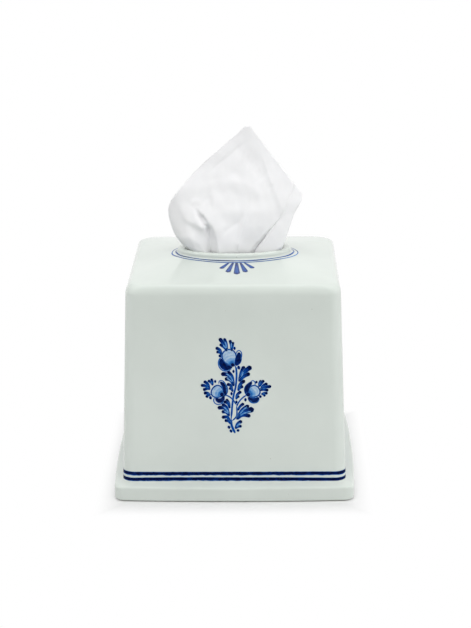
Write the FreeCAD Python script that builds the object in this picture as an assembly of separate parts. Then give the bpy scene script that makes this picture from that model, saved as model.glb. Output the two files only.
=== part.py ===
import FreeCAD, Part
import math
import os

# Refill carton, folded from board
CARTON_WIDTH = 110.0
CARTON_HEIGHT = 126.0
BOARD = 0.5
BOARD_LAYERS = 3
GLUE_LAP = 14.0
INNER_FLAP_SHARE = 0.7
DUST_FLAP_SHARE = 0.45
MOUTH_SIDE_BOARD = 15.0
MOUTH_FRONT_BOARD = 31.0

# Film under the carton's mouth, with a slit that the standing sheet pushes open
FILM = 0.2
FILM_MARGIN = 8.0
SLIT_OVERREACH = 2.0
SLIT_SPREAD = 22.0

# Ceramic cover: the tapered body that drops over the carton, its rim and its pillow top
WALL = 5.5
CARTON_SIDE_ROOM = 5.5
CARTON_HEAD_ROOM = 5.3
BODY_FLARE = 4.0
BODY_CORNER = 11.0
RIM_ROUND = 8.4
RIM_TURN = 80.0
RIM_STEPS = 6
INNER_RIM_STEPS = 2
PILLOW_RISE = 5.2

# Ceramic cover: the plinth foot
LEDGE_WIDTH = 5.0
FOOT_BOW = 1.8
FOOT_CORNER = 6.5
FOOT_FACE = 9.5
FOOT_SLOPE_RISE = 1.5
FOOT_BROW_ROUND = 1.6
FOOT_BROW_STEPS = 3

# Ceramic cover: the oval collar
COLLAR_WIDTH = 73.2
COLLAR_DEPTH = 43.0
COLLAR_WALL = 5.6
COLLAR_HEIGHT = 3.3
COLLAR_ROUND = 2.2
COLLAR_LIP_STEPS = 4
OVAL_FACING_ANGLE = 35.0

# Interfolded sheets that are left in the carton, bent over as an arch
SHEET_COUNT = 10
SHEET = 0.4
SHEET_GAP = 0.2
CLIP_HEIGHT = 70.0
CLIP_BEND = 40.0
CLIP_CLEARANCE = 0.6
FOLD_CLEARANCE = 0.6

# Standing sheet, which comes up through the slit and the collar
TISSUE = 0.6
TISSUE_HEIGHT = 79.0
TISSUE_WIDTH = 86.0
TISSUE_DEPTH = 24.0
TAIL_CLEARANCE = 0.6
THROAT_CLEARANCE = 0.3

# Next sheet, pleated inside the standing one's tail, where it fills a share of the slit
NEXT_STAND = 1.0
NEXT_FOLD_PAIRS = 2
NEXT_WIDTH_SHARE = 0.45
NEXT_DEPTH_SHARE = 0.41
NEXT_TOP_SHARE = 0.8

# How far a cutting tool runs past the face that it cuts
OVERRUN = 1.0

# Sections of the standing sheet. Each has shares of a width for the fold on the left, the crease, the
# front panel's edge and the back panel's edge, then shares of a depth for the pouch beside the fold,
# the crease, the front panel and the back panel. In the slit they are shares of the slit, in the
# collar shares of the bore, and above it shares of the sheet, after a share of its height.
SLIT_SHARES = (-0.400, -0.130, 0.370, 0.400, -0.30, -0.34, -0.38, 0.38)
THROAT_SHARES = (-0.500, -0.147, 0.188, 0.482, -0.28, -0.09, -0.37, 0.26)
STANDING_SHARES = (
    (0.11, -0.440, -0.140, 0.230, 0.382, -0.52, -0.30, -0.60, 0.38),
    (0.33, -0.486, -0.225, 0.375, 0.449, -0.64, -0.58, -0.72, 0.36),
    (0.44, -0.442, -0.215, 0.420, 0.500, -0.56, -0.58, -0.66, 0.33),
    (0.54, -0.357, -0.170, 0.436, 0.446, -0.46, -0.50, -0.56, 0.28),
    (0.77, -0.147, -0.031, 0.268, 0.277, -0.26, -0.28, -0.33, 0.19),
    (1.00, 0.064, 0.088, 0.130, 0.144, -0.10, -0.105, -0.12, 0.10),
)
FOLD_SHARE = 0.05
EDGE_DEPTH_SHARE = 0.35

# Heights and sizes worked out from the values above
BODY_RIM_WIDTH = CARTON_WIDTH + 2 * (CARTON_SIDE_ROOM + WALL)
BODY_FOOT_WIDTH = BODY_RIM_WIDTH + 2 * BODY_FLARE
FOOT_WIDTH = BODY_FOOT_WIDTH + 2 * LEDGE_WIDTH
RIM_HEIGHT = CARTON_HEIGHT + CARTON_HEAD_ROOM + WALL
LEDGE_HEIGHT = FOOT_FACE + FOOT_SLOPE_RISE
BODY_SLOPE = BODY_FLARE / (RIM_HEIGHT - LEDGE_HEIGHT)
PILLOW_HEIGHT = RIM_HEIGHT + PILLOW_RISE
COLLAR_TOP = PILLOW_HEIGHT + COLLAR_HEIGHT
BORE_WIDTH = COLLAR_WIDTH - 2 * COLLAR_WALL
BORE_DEPTH = COLLAR_DEPTH - 2 * COLLAR_WALL
BORE_BOTTOM = PILLOW_HEIGHT - WALL
CARTON_FLOOR = BOARD_LAYERS * BOARD
CARTON_CEILING = CARTON_HEIGHT - BOARD_LAYERS * BOARD
CARTON_MOUTH_WIDTH = CARTON_WIDTH - 2 * MOUTH_SIDE_BOARD
CARTON_MOUTH_DEPTH = CARTON_WIDTH - 2 * MOUTH_FRONT_BOARD
FILM_UNDERSIDE = CARTON_CEILING - FILM
SLIT_LENGTH = BORE_WIDTH + 2 * SLIT_OVERREACH
LAYER_PITCH = SHEET + SHEET_GAP
CLIP_TOP = CARTON_FLOOR + CLIP_HEIGHT
CLIP_HALF = CARTON_WIDTH / 2 - 2 * BOARD - CLIP_CLEARANCE
TAIL_BOTTOM = CLIP_TOP + TAIL_CLEARANCE
NEXT_WIDTH = NEXT_WIDTH_SHARE * SLIT_LENGTH
NEXT_DEPTH = NEXT_DEPTH_SHARE * SLIT_SPREAD
NEXT_TOP = CARTON_HEIGHT + NEXT_STAND


def point(x, y, z):
    return FreeCAD.Vector(x, y, z)


def line(start, end):
    return Part.LineSegment(start, end).toShape()


def arc(start, middle, end):
    return Part.Arc(start, middle, end).toShape()


def box_between(low, high):
    size = high - low
    return Part.makeBox(size.x, size.y, size.z, low)


def quarter_turned(edge, turns):
    copy = edge.copy()
    copy.rotate(point(0, 0, 0), point(0, 0, 1), 90 * turns)
    return copy


def rounded_outline(half_width, half_depth, corner, height, bow=0):
    """Rectangle with round corners, whose sides may bow out, about the upright axis."""
    edges = []
    slant = corner * math.sqrt(0.5)
    for turn in range(4):
        across, out = (half_width, half_depth) if turn % 2 == 0 else (half_depth, half_width)
        flat = across - corner
        start = point(-flat, -out, height)
        end = point(flat, -out, height)
        side = arc(start, point(0, -out - bow, height), end) if bow else line(start, end)
        bend_middle = point(flat + slant, -out + corner - slant, height)
        bend = arc(end, bend_middle, point(across, -out + corner, height))
        edges += [quarter_turned(side, turn), quarter_turned(bend, turn)]
    return Part.Wire(edges)


def oval_outline(half_width, half_depth, height):
    """Ellipse cut into a facing arc and a corner arc for each side, to match the rounded outline."""
    oval = Part.Ellipse(point(0, 0, height), half_width, half_depth)
    quarter = math.pi / 2
    facing = math.radians(OVAL_FACING_ANGLE)
    edges = []
    for turn in range(4):
        middle = (turn - 1) * quarter
        edges.append(oval.toShape(middle - facing, middle + facing))
        edges.append(oval.toShape(middle + facing, middle + quarter - facing))
    return Part.Wire(edges)


def whole_oval(width, depth, height):
    return Part.Wire(Part.Ellipse(point(0, 0, height), width / 2, depth / 2).toShape())


def oval_prism(width, depth, low, high):
    return Part.Face(whole_oval(width, depth, low)).extrude(point(0, 0, high - low))


def body_half(height):
    """Half the body's outer width at a height, before the rim rounds over."""
    return BODY_RIM_WIDTH / 2 + BODY_SLOPE * (RIM_HEIGHT - height)


def body_outlines(inset, rim_steps):
    """Outlines up the wall, over the rim and up the pillow to the collar, all set in by the same amount."""
    rim_round = RIM_ROUND - inset
    corner = BODY_CORNER - inset
    bend_start = RIM_HEIGHT - RIM_ROUND
    foot_half = body_half(LEDGE_HEIGHT) - inset
    outlines = [rounded_outline(foot_half, foot_half, corner, LEDGE_HEIGHT)]
    for step in range(rim_steps + 1):
        turn = math.radians(RIM_TURN) * step / rim_steps
        height = bend_start + rim_round * math.sin(turn)
        half = body_half(height) - inset - rim_round * (1 - math.cos(turn))
        outlines.append(rounded_outline(half, half, corner, height))
    outlines.append(oval_outline(COLLAR_WIDTH / 2, COLLAR_DEPTH / 2, PILLOW_HEIGHT - inset))
    return outlines


def plinth_foot():
    """Bowed plinth with an upright face, a rounded brow and a ledge that slopes up to the body."""
    half = FOOT_WIDTH / 2
    ledge_half = body_half(LEDGE_HEIGHT)
    brow_start = FOOT_FACE - FOOT_BROW_ROUND
    outlines = [rounded_outline(half, half, FOOT_CORNER, 0, FOOT_BOW)]
    for step in range(FOOT_BROW_STEPS + 1):
        turn = math.radians(RIM_TURN) * step / FOOT_BROW_STEPS
        height = brow_start + FOOT_BROW_ROUND * math.sin(turn)
        inner = half - FOOT_BROW_ROUND * (1 - math.cos(turn))
        outlines.append(rounded_outline(inner, inner, FOOT_CORNER, height, FOOT_BOW))
    outlines.append(rounded_outline(ledge_half, ledge_half, BODY_CORNER, LEDGE_HEIGHT))
    return Part.makeLoft(outlines, True, True)


def lip_ovals(width, depth, outward):
    """Ovals up one wall of the collar and over its half of the rounded lip."""
    ovals = [whole_oval(width, depth, BORE_BOTTOM)]
    for step in range(COLLAR_LIP_STEPS + 1):
        turn = math.pi / 2 * step / COLLAR_LIP_STEPS
        growth = 2 * outward * COLLAR_ROUND * (1 - math.cos(turn))
        height = COLLAR_TOP - COLLAR_ROUND * (1 - math.sin(turn))
        ovals.append(whole_oval(width + growth, depth + growth, height))
    return ovals


def collar():
    """Oval ring with a soft lip."""
    return Part.makeLoft(lip_ovals(COLLAR_WIDTH, COLLAR_DEPTH, -1), True, True)


def bore():
    """Oval way through the roof and the collar, which opens out over the inner half of the lip."""
    way = Part.makeLoft(lip_ovals(BORE_WIDTH, BORE_DEPTH, 1), True, True)
    mouth = 2 * COLLAR_ROUND
    above = oval_prism(BORE_WIDTH + mouth, BORE_DEPTH + mouth, COLLAR_TOP, COLLAR_TOP + OVERRUN)
    below = oval_prism(BORE_WIDTH, BORE_DEPTH, BORE_BOTTOM - OVERRUN, BORE_BOTTOM)
    return way.fuse([above, below])


def cavity():
    """The hollow inside, a wall's thickness in from the outside and flared at the foot."""
    mouth_half = FOOT_WIDTH / 2 - WALL
    neck_half = body_half(LEDGE_HEIGHT) - WALL
    corner = BODY_CORNER - WALL
    mouth = Part.makeLoft([
        rounded_outline(mouth_half, mouth_half, corner, -OVERRUN),
        rounded_outline(mouth_half, mouth_half, corner, FOOT_FACE - WALL),
        rounded_outline(neck_half, neck_half, corner, LEDGE_HEIGHT),
    ], True, True)
    return mouth.fuse(Part.makeLoft(body_outlines(WALL, INNER_RIM_STEPS), True, True))


def cover_shell():
    body = Part.makeLoft(body_outlines(0, RIM_STEPS), True, True)
    return body.fuse([plinth_foot(), collar()]).cut([cavity(), bore()])


def carton_end(outer_face, inward):
    """Closed end of the carton: an outer flap, an inner flap and two dust flaps, a board thick each."""
    half = CARTON_WIDTH / 2
    inner_reach = INNER_FLAP_SHARE * CARTON_WIDTH
    dust_reach = DUST_FLAP_SHARE * CARTON_WIDTH
    flaps = (
        (0, -half, half, half),
        (1, -half, half, -half + inner_reach),
        (2, -half, -half + dust_reach, half),
        (2, half - dust_reach, half, half),
    )
    boards = []
    for layer, left, right, back in flaps:
        near = outer_face + inward * layer * BOARD
        low = min(near, near + inward * BOARD)
        boards.append(box_between(point(left, -half, low), point(right, back, low + BOARD)))
    return boards


def refill_carton():
    half = CARTON_WIDTH / 2
    inner = half - BOARD
    outside = box_between(point(-half, -half, 0), point(half, half, CARTON_HEIGHT))
    inside = box_between(
        point(-inner, -inner, -OVERRUN), point(inner, inner, CARTON_HEIGHT + OVERRUN))
    lap = box_between(
        point(-inner, inner - BOARD, 0), point(-inner + GLUE_LAP, inner, CARTON_HEIGHT))
    closed = outside.cut(inside).fuse([lap] + carton_end(0, 1) + carton_end(CARTON_HEIGHT, -1))
    mouth = oval_prism(
        CARTON_MOUTH_WIDTH, CARTON_MOUTH_DEPTH, CARTON_CEILING - OVERRUN, CARTON_HEIGHT + OVERRUN)
    return closed.cut(mouth).removeSplitter()


def slit_film():
    half_width = CARTON_MOUTH_WIDTH / 2 + FILM_MARGIN
    half_depth = CARTON_MOUTH_DEPTH / 2 + FILM_MARGIN
    film = box_between(
        point(-half_width, -half_depth, FILM_UNDERSIDE), point(half_width, half_depth, CARTON_CEILING))
    low = FILM_UNDERSIDE - OVERRUN
    left = point(-SLIT_LENGTH / 2, 0, low)
    right = point(SLIT_LENGTH / 2, 0, low)
    front = arc(left, point(0, -SLIT_SPREAD / 2, low), right)
    back = arc(right, point(0, SLIT_SPREAD / 2, low), left)
    eye = Part.Face(Part.Wire([front, back]))
    return film.cut(eye.extrude(point(0, 0, FILM + 2 * OVERRUN)))


def arch_corners(depth_in, y):
    """Ends and bend points of the arch, some way in from the clip's outer face, from left to right."""
    half = CLIP_HALF - depth_in
    top = CLIP_TOP - depth_in
    bend = CLIP_BEND - depth_in
    slant = bend * (1 - math.sqrt(0.5))
    left = [
        point(-half, y, CARTON_FLOOR),
        point(-half, y, top - bend),
        point(-half + slant, y, top - slant),
        point(-half + bend, y, top),
    ]
    right = [point(-corner.x, corner.y, corner.z) for corner in reversed(left)]
    return left + right


def arch_edges(corners):
    foot, spring, bend, crown, far_crown, far_bend, far_spring, far_foot = corners
    return [
        line(foot, spring),
        arc(spring, bend, crown),
        line(crown, far_crown),
        arc(far_crown, far_bend, far_spring),
        line(far_spring, far_foot),
    ]


def arch_band(depth_in, thickness, front, back):
    """Upside-down U of paper from front to back, some way in from the clip's outer face."""
    outer = arch_corners(depth_in, front)
    inner = arch_corners(depth_in + thickness, front)
    feet = [line(outer[-1], inner[-1]), line(inner[0], outer[0])]
    edges = arch_edges(outer) + feet + arch_edges(inner)
    profile = Part.Wire(Part.sortEdges(edges)[0])
    return Part.Face(profile).extrude(point(0, back - front, 0))


def clip_sheet(number):
    """One folded sheet of the clip. Its two panels hold the next sheet's upper panel between them."""
    upper = 2 * (number - 1) * LAYER_PITCH
    lower = upper + 3 * LAYER_PITCH
    side = 1 if number % 2 else -1
    fold = side * CLIP_HALF
    fold_inside = fold - side * SHEET
    edge = -side * (CLIP_HALF - SHEET - FOLD_CLEARANCE)
    panel_span = sorted((fold, edge))
    fold_span = sorted((fold, fold_inside))
    panels = [arch_band(depth_in, SHEET, *panel_span) for depth_in in (upper, lower)]
    bend = arch_band(upper, lower - upper + SHEET, *fold_span)
    return panels[0].fuse([panels[1], bend]).removeSplitter()


def moved_in(points):
    """The same run of points, one sheet thickness further inside."""
    inside = []
    last = len(points) - 1
    for index, here in enumerate(points):
        along = points[min(index + 1, last)] - points[max(index - 1, 0)]
        along.normalize()
        inside.append(here + point(along.y, -along.x, 0) * TISSUE)
    return inside


def folded_section(height, width, depth, shares):
    """Closed outline of the folded sheet at one height: front panel, crease, pouch, fold and back panel."""
    fold, crease, front_edge, back_edge = [share * width for share in shares[:4]]
    pouch_out, crease_out, front_out, back_out = [share * depth for share in shares[4:]]
    fold_end = fold + FOLD_SHARE * (back_edge - fold)
    outer = [
        point(front_edge, EDGE_DEPTH_SHARE * front_out, height),
        point((front_edge + crease) / 2, front_out, height),
        point(crease, crease_out, height),
        point((crease + fold_end) / 2, pouch_out, height),
        point(fold_end, EDGE_DEPTH_SHARE * pouch_out, height),
        point(fold, 0, height),
        point(fold_end, EDGE_DEPTH_SHARE * back_out, height),
        point((fold + back_edge) / 2, back_out, height),
        point(back_edge, EDGE_DEPTH_SHARE * back_out, height),
    ]
    inner = moved_in(outer)[::-1]
    edges = [arc(*outer[start:start + 3]) for start in (0, 2, 4, 6)]
    edges.append(line(outer[-1], inner[0]))
    edges += [arc(*inner[start:start + 3]) for start in (0, 2, 4, 6)]
    edges.append(line(inner[-1], outer[0]))
    return Part.Wire(edges)


def popup_tissue():
    sections = []
    for height in (TAIL_BOTTOM, CARTON_HEIGHT):
        sections.append(folded_section(height, SLIT_LENGTH, SLIT_SPREAD, SLIT_SHARES))
    throat_width = BORE_WIDTH - 2 * THROAT_CLEARANCE
    throat_depth = BORE_DEPTH - 2 * THROAT_CLEARANCE
    for height in (BORE_BOTTOM, COLLAR_TOP):
        sections.append(folded_section(height, throat_width, throat_depth, THROAT_SHARES))
    for share, *shares in STANDING_SHARES:
        height = COLLAR_TOP + share * TISSUE_HEIGHT
        sections.append(folded_section(height, TISSUE_WIDTH, TISSUE_DEPTH, shares))
    return Part.makeLoft(sections, True, True)


def pleated_section(height, width, depth):
    """Closed outline of the gathered sheet at one height: panels across the slit, joined end to end."""
    half = width / 2
    pitch = (depth - TISSUE) / (2 * NEXT_FOLD_PAIRS)
    inside = half - TISSUE
    open_right = []
    open_left = []
    for pair in range(NEXT_FOLD_PAIRS + 1):
        near = -depth / 2 + 2 * pair * pitch
        far = near + pitch
        last = pair == NEXT_FOLD_PAIRS
        open_right += [(-inside if pair else -half, near), (half, near)]
        open_left += [(-half, near + TISSUE), (half if last else inside, near + TISSUE)]
        if not last:
            open_right += [(half, far + TISSUE), (-inside, far + TISSUE)]
            open_left += [(inside, far), (-half, far)]
    corners = [point(x, y, height) for x, y in open_right + open_left[::-1]]
    return Part.makePolygon(corners + corners[:1])


def next_tissue():
    bottom = pleated_section(TAIL_BOTTOM, NEXT_WIDTH, NEXT_DEPTH)
    top = pleated_section(NEXT_TOP, NEXT_TOP_SHARE * NEXT_WIDTH, NEXT_DEPTH)
    return Part.makeLoft([bottom, top], True, True)


parts = {
    "cover_shell": cover_shell(),
    "refill_carton": refill_carton(),
    "slit_film": slit_film(),
    "popup_tissue": popup_tissue(),
    "next_tissue": next_tissue(),
}
for number in range(1, SHEET_COUNT + 1):
    parts[f"clip_sheet_{number:02d}"] = clip_sheet(number)

os.makedirs("parts", exist_ok=True)
for name, shape in parts.items():
    print(name, "valid" if shape.isValid() else "broken", len(shape.Solids), round(shape.Volume))
    shape.exportStep(os.path.join("parts", name + ".step"))
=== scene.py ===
# %% [markdown]
# # A painted ceramic tissue box cover
# The object is a square ceramic cover that stands over a carton of tissues, with one sheet up through its
# oval collar. The CAD model already holds the sizes, so this lesson loads it as a fixed frame and dresses it:
# smooth glaze and brushwork on the cover, coated board on the carton, and soft paper for the sheets.

# %% Load the frame
import itertools
import math

import bmesh
import bpy
from mathutils import Euler, Matrix, Vector, noise
from mathutils.bvhtree import BVHTree


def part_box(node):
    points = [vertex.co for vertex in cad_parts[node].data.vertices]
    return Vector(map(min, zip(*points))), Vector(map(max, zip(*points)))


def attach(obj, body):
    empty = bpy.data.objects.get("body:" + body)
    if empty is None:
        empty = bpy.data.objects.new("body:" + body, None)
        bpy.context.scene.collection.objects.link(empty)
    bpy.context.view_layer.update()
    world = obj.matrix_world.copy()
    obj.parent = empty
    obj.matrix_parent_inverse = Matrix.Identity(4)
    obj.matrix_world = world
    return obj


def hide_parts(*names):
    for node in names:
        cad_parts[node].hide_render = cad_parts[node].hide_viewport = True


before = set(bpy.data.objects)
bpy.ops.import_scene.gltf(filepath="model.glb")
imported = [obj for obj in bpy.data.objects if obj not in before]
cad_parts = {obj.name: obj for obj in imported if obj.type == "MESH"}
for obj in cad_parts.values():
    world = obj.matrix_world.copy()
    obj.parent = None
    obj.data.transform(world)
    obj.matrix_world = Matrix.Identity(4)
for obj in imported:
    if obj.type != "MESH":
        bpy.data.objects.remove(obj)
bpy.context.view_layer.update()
MM = 0.001

# %% [markdown]
# ## The camera
# The picture was taken with a long lens, a little above the object and almost straight on. The place and
# turns below were fitted to the cover's edges. A vertical sensor fit suits an upright picture.

# %% Camera
CAMERA_PLACE = (0.0189, -1.1400, 0.4279)
CAMERA_DOWN, CAMERA_LEFT, CAMERA_ROLL = 0.2799, 0.0162, -0.0074
SENSOR_HEIGHT, LENS = 36, 104.85
camera = bpy.data.objects.new("camera", bpy.data.cameras.new("camera"))
camera.data.sensor_fit = "VERTICAL"
camera.data.sensor_height = SENSOR_HEIGHT
camera.data.lens = LENS
turn = Euler((math.pi / 2 - CAMERA_DOWN, 0, CAMERA_LEFT)).to_matrix().to_4x4()
camera.matrix_world = Matrix.Translation(CAMERA_PLACE) @ turn @ Matrix.Rotation(CAMERA_ROLL, 4, "Z")
bpy.context.collection.objects.link(camera)
bpy.context.scene.camera = camera
print("camera at", [round(side, 3) for side in camera.location])

# %% [markdown]
# ## Helpers for shapes
# Every shape here is a row of vertices that is extruded and laid somewhere new, again and again, and one
# helper does each such step. Another turns the finished bmesh, which is drawn in millimetres, into an object
# that rides on its body.

# %% Rows of vertices and finished pieces
def neighbours(row, closed):
    """The pairs along a row, and from its end to its start where it is closed."""
    return zip(row, row[1:] + row[:1] if closed else row[1:])


def add_row(bm, row, places, closed=False, material=0):
    """Extrudes a row once, lays the new row on the places and returns it. With no row, it starts one."""
    if row is None:
        row = [bm.verts.new(place) for place in places]
        for pair in neighbours(row, closed):
            bm.edges.new(pair)
        return row
    edges = [bm.edges.get(pair) for pair in neighbours(row, closed)]
    made = set(bmesh.ops.extrude_edge_only(bm, edges=edges)["geom"])
    fresh = [next(end for end in (edge.other_vert(v) for edge in v.link_edges) if end in made) for v in row]
    for vertex, place in zip(fresh, places):
        vertex.co = place
    for face in made:
        if isinstance(face, bmesh.types.BMFace):
            face.material_index = material
    return fresh


def finished(name, bm, materials, body, slot, *nodes):
    """Makes the object, in metres, smooth shaded, riding on a body in place of CAD nodes."""
    bmesh.ops.scale(bm, vec=(MM, MM, MM), verts=bm.verts)
    mesh = bpy.data.meshes.new(name)
    bm.to_mesh(mesh)
    bm.free()
    mesh.shade_smooth()
    for material in materials:
        mesh.materials.append(material)
    piece = bpy.data.objects.new(name, mesh)
    bpy.context.collection.objects.link(piece)
    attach(piece, body)
    if nodes:
        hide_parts(*nodes)
    print(name, len(mesh.polygons), "faces")
    return piece


# %% [markdown]
# ## Helpers for materials
# A shader tree is a set of nodes and links, so one helper adds a node with its settings and with whatever
# feeds it. Colours are written as sRGB hex codes, as a paint chart gives them, and turned to the linear
# numbers that Blender works in.

# %% Nodes, colours and empty materials
def set_inputs(tree, node, inputs):
    """Gives each input a value, the socket that feeds it, or a node, whose first output feeds it."""
    for name, value in inputs.items():
        source = value.outputs[0] if isinstance(value, bpy.types.Node) else value
        if isinstance(source, bpy.types.NodeSocket):
            tree.links.new(source, node.inputs[name])
        else:
            node.inputs[name].default_value = source


def add_node(tree, kind, inputs=None, **settings):
    """Adds a node with its settings and inputs."""
    node = tree.nodes.new(kind)
    for name, value in settings.items():
        setattr(node, name, value)
    set_inputs(tree, node, inputs or {})
    return node


def linear(hex_colour):
    """An sRGB hex colour as linear RGBA."""
    parts = [int(hex_colour[start:start + 2], 16) / 255 for start in (1, 3, 5)]
    return [part / 12.92 if part <= 0.04045 else ((part + 0.055) / 1.055) ** 2.4 for part in parts] + [1]


def paint_ramp(ramp, stops):
    """Sets a colour ramp's stops from pairs of position and hex colour."""
    elements = ramp.color_ramp.elements
    while len(elements) < len(stops):
        elements.new(1)
    for element, (position, colour) in zip(elements, stops):
        element.position = position
        element.color = linear(colour)


def new_material(name):
    """A material with a Principled shader on its output: returns it, its tree and the shader."""
    material = bpy.data.materials.new(name)
    material.use_nodes = True
    tree = material.node_tree
    print("material", name)
    return material, tree, tree.nodes["Principled BSDF"]


# %% [markdown]
# ## Tin glaze
# The cover is slip-cast earthenware under an opaque white tin glaze. The glaze is glassy, IOR about 1.5, very
# smooth, and it lies a little thicker and greener where it pooled. The eye sees a soft grey-green white,
# faint waves in the reflections, and a few dark specks of iron. Noise gives the clouds and the waves. Each
# cell of a Voronoi texture has room for one speck, and a second noise keeps only a few of them.

# %% Glaze
GLAZE_IOR = 1.52
CLOUD_SIZE, WAVE_SIZE, WAVE_HEIGHT = 45 * MM, 22 * MM, 0.4 * MM
SPECK_CELL, SPECK_PATCH, SPECK_RARITY = 11 * MM, 30 * MM, 0.62
SPECK_CORE, SPECK_EDGE, SPECK_DEPTH = 0.018, 0.036, 0.55
glaze, tree, shader = new_material("tin_glaze")
place = add_node(tree, "ShaderNodeTexCoord").outputs["Object"]
clouds = add_node(tree, "ShaderNodeTexNoise", {"Vector": place, "Scale": 1 / CLOUD_SIZE, "Detail": 3})
ground = add_node(tree, "ShaderNodeValToRGB", {"Fac": clouds})
paint_ramp(ground, ((0.3, "#cbd2cc"), (0.7, "#d0d7d1")))
cells = add_node(tree, "ShaderNodeTexVoronoi", {"Vector": place, "Scale": 1 / SPECK_CELL, "Randomness": 1})
near = add_node(tree, "ShaderNodeMapRange", {
    "Value": cells, "From Min": SPECK_CORE, "From Max": SPECK_EDGE, "To Min": SPECK_DEPTH, "To Max": 0})
patches = add_node(tree, "ShaderNodeTexNoise", {"Vector": place, "Scale": 1 / SPECK_PATCH, "Detail": 0})
rare = add_node(tree, "ShaderNodeMath", {0: patches, 1: SPECK_RARITY}, operation="GREATER_THAN")
speck = add_node(tree, "ShaderNodeMath", {0: near, 1: rare}, operation="MULTIPLY")
specked = add_node(
    tree, "ShaderNodeMix", {"Factor": speck, 6: ground, 7: linear("#8d8a7c")}, data_type="RGBA").outputs[2]
waves = add_node(tree, "ShaderNodeTexNoise", {"Vector": place, "Scale": 1 / WAVE_SIZE, "Detail": 2})
skin = add_node(tree, "ShaderNodeBump", {"Height": waves, "Strength": 0.25, "Distance": WAVE_HEIGHT})
set_inputs(tree, shader, {"Base Color": specked, "Normal": skin, "Roughness": 0.07, "IOR": GLAZE_IOR})

# %% [markdown]
# ## Bare clay
# The foot has to stand on the kiln shelf, so its rim is wiped clean of glaze before firing. It shows the
# biscuit itself: warm off-white, quite matt, with a fine sandy grain. One noise gives its colour and grit.

# %% Biscuit clay on the foot's rim
SAND_SIZE, SAND_HEIGHT = 1.2 * MM, 0.2 * MM
bare_clay, tree, shader = new_material("biscuit_clay")
place = add_node(tree, "ShaderNodeTexCoord").outputs["Object"]
sand = add_node(tree, "ShaderNodeTexNoise", {"Vector": place, "Scale": 1 / SAND_SIZE, "Detail": 3})
tone = add_node(tree, "ShaderNodeValToRGB", {"Fac": sand})
paint_ramp(tone, ((0.3, "#c9bfae"), (0.7, "#ded6c8")))
grit = add_node(tree, "ShaderNodeBump", {"Height": sand, "Strength": 0.5, "Distance": SAND_HEIGHT})
set_inputs(tree, shader, {"Base Color": tone, "Normal": grit, "Roughness": 0.85})

# %% [markdown]
# ## The ceramic cover
# The real cover is one casting with soft edges everywhere. The CAD node has the right sizes but flat facets,
# which a gloss glaze would show, so the cover is drawn again: one ring of vertices is extruded up the foot,
# the wall, the rim, the pillow top and the collar, then down through the bore and the hollow, and bridged to
# where it started. Each ring is a rounded square or an oval with the same number of vertices. The upright
# corners and the rim follow the picture, a little tighter than in the CAD model. The wiped rim of the foot is
# set in and leaves a thin dark gap above the floor.

# %% Outlines
SIDE_STEPS, CORNER_STEPS = 20, 10
OVAL_FACING = 35


def arc(turn, steps):
    """Angles from zero to a turn in degrees."""
    return [math.radians(turn) * step / steps for step in range(steps + 1)]


def rounded_square(half, corner, height, bow=0.0, side_steps=SIDE_STEPS):
    """A square ring with round corners, whose sides may bow outward."""
    places = []
    flat = half - corner
    for quarter in range(4):
        turn = Matrix.Rotation(quarter * math.pi / 2, 3, "Z")
        for step in range(side_steps):
            along = 2 * step / side_steps - 1
            places.append(turn @ Vector((along * flat, -half - bow * (1 - along * along), height)))
        for angle in arc(90, CORNER_STEPS)[:-1]:
            across, deep = flat + corner * math.sin(angle), -flat - corner * math.cos(angle)
            places.append(turn @ Vector((across, deep, height)))
    return places


def oval(half_width, half_depth, height):
    """An oval ring, with as many vertices on each quarter as the rounded square has."""
    side = (-OVAL_FACING, 2 * OVAL_FACING, SIDE_STEPS)
    corner = (OVAL_FACING, 90 - 2 * OVAL_FACING, CORNER_STEPS)
    places = []
    for quarter in range(4):
        for start, sweep, steps in (side, corner):
            for step in range(steps):
                angle = math.radians((quarter - 1) * 90 + start + sweep * step / steps)
                places.append(Vector((half_width * math.cos(angle), half_depth * math.sin(angle), height)))
    return places


def between(ring, other, share):
    return [place.lerp(end, share) for place, end in zip(ring, other)]


print(len(rounded_square(70, 8, 0)), "vertices on a square ring and", len(oval(37, 21, 0)), "on an oval one")

# %% The cover's sizes in mm
COLLAR_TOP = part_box("cover_shell")[1].z / MM
FOOT_HALF, FOOT_BOW, FOOT_CORNER = 75.0, 1.8, 6.5
LEDGE_HEIGHT, RIM_HEIGHT, COLLAR_RISE = 11.0, 136.8, 3.3
PILLOW_HEIGHT = COLLAR_TOP - COLLAR_RISE
BODY_HALF, RIM_HALF, WALL = 70.0, 66.0, 5.5
BODY_CORNER, HOLLOW_CORNER = 7.5, 5.5
COLLAR_HALF, BORE_HALF = (36.6, 21.5), (31.0, 15.9)
GLAZED, CLAY = 0, 1
rings = []


def wall_half(height):
    return RIM_HALF + (BODY_HALF - RIM_HALF) * (RIM_HEIGHT - height) / (RIM_HEIGHT - LEDGE_HEIGHT)


def add_square(half, corner, height, bow=0.0, zone=GLAZED):
    rings.append((rounded_square(half, corner, height, bow), zone))


def add_oval(half, grow, height):
    rings.append((oval(half[0] + grow, half[1] + grow, height), GLAZED))


def add_between(ring, other, shares):
    rings.extend((between(ring, other, share), GLAZED) for share in shares)


print("the collar's top is at", round(COLLAR_TOP, 1), "mm")

# %% Rings of the foot
WIPED_IN, WIPED_UP = 2.2, 0.45
FOOT_EDGE, EDGE_STEPS, FOOT_HEIGHTS = 0.9, 4, (1.8, 4.6, 7.7)
FOOT_BROW, BROW_HEIGHT, BROW_TURN, BROW_STEPS = 1.5, 8.1, 66, 6
COVE_OUT, COVE_HEIGHT = 0.7, 10.9
LEDGE_SHARES = (0.12, 0.5, 0.88, 1.0)
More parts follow.
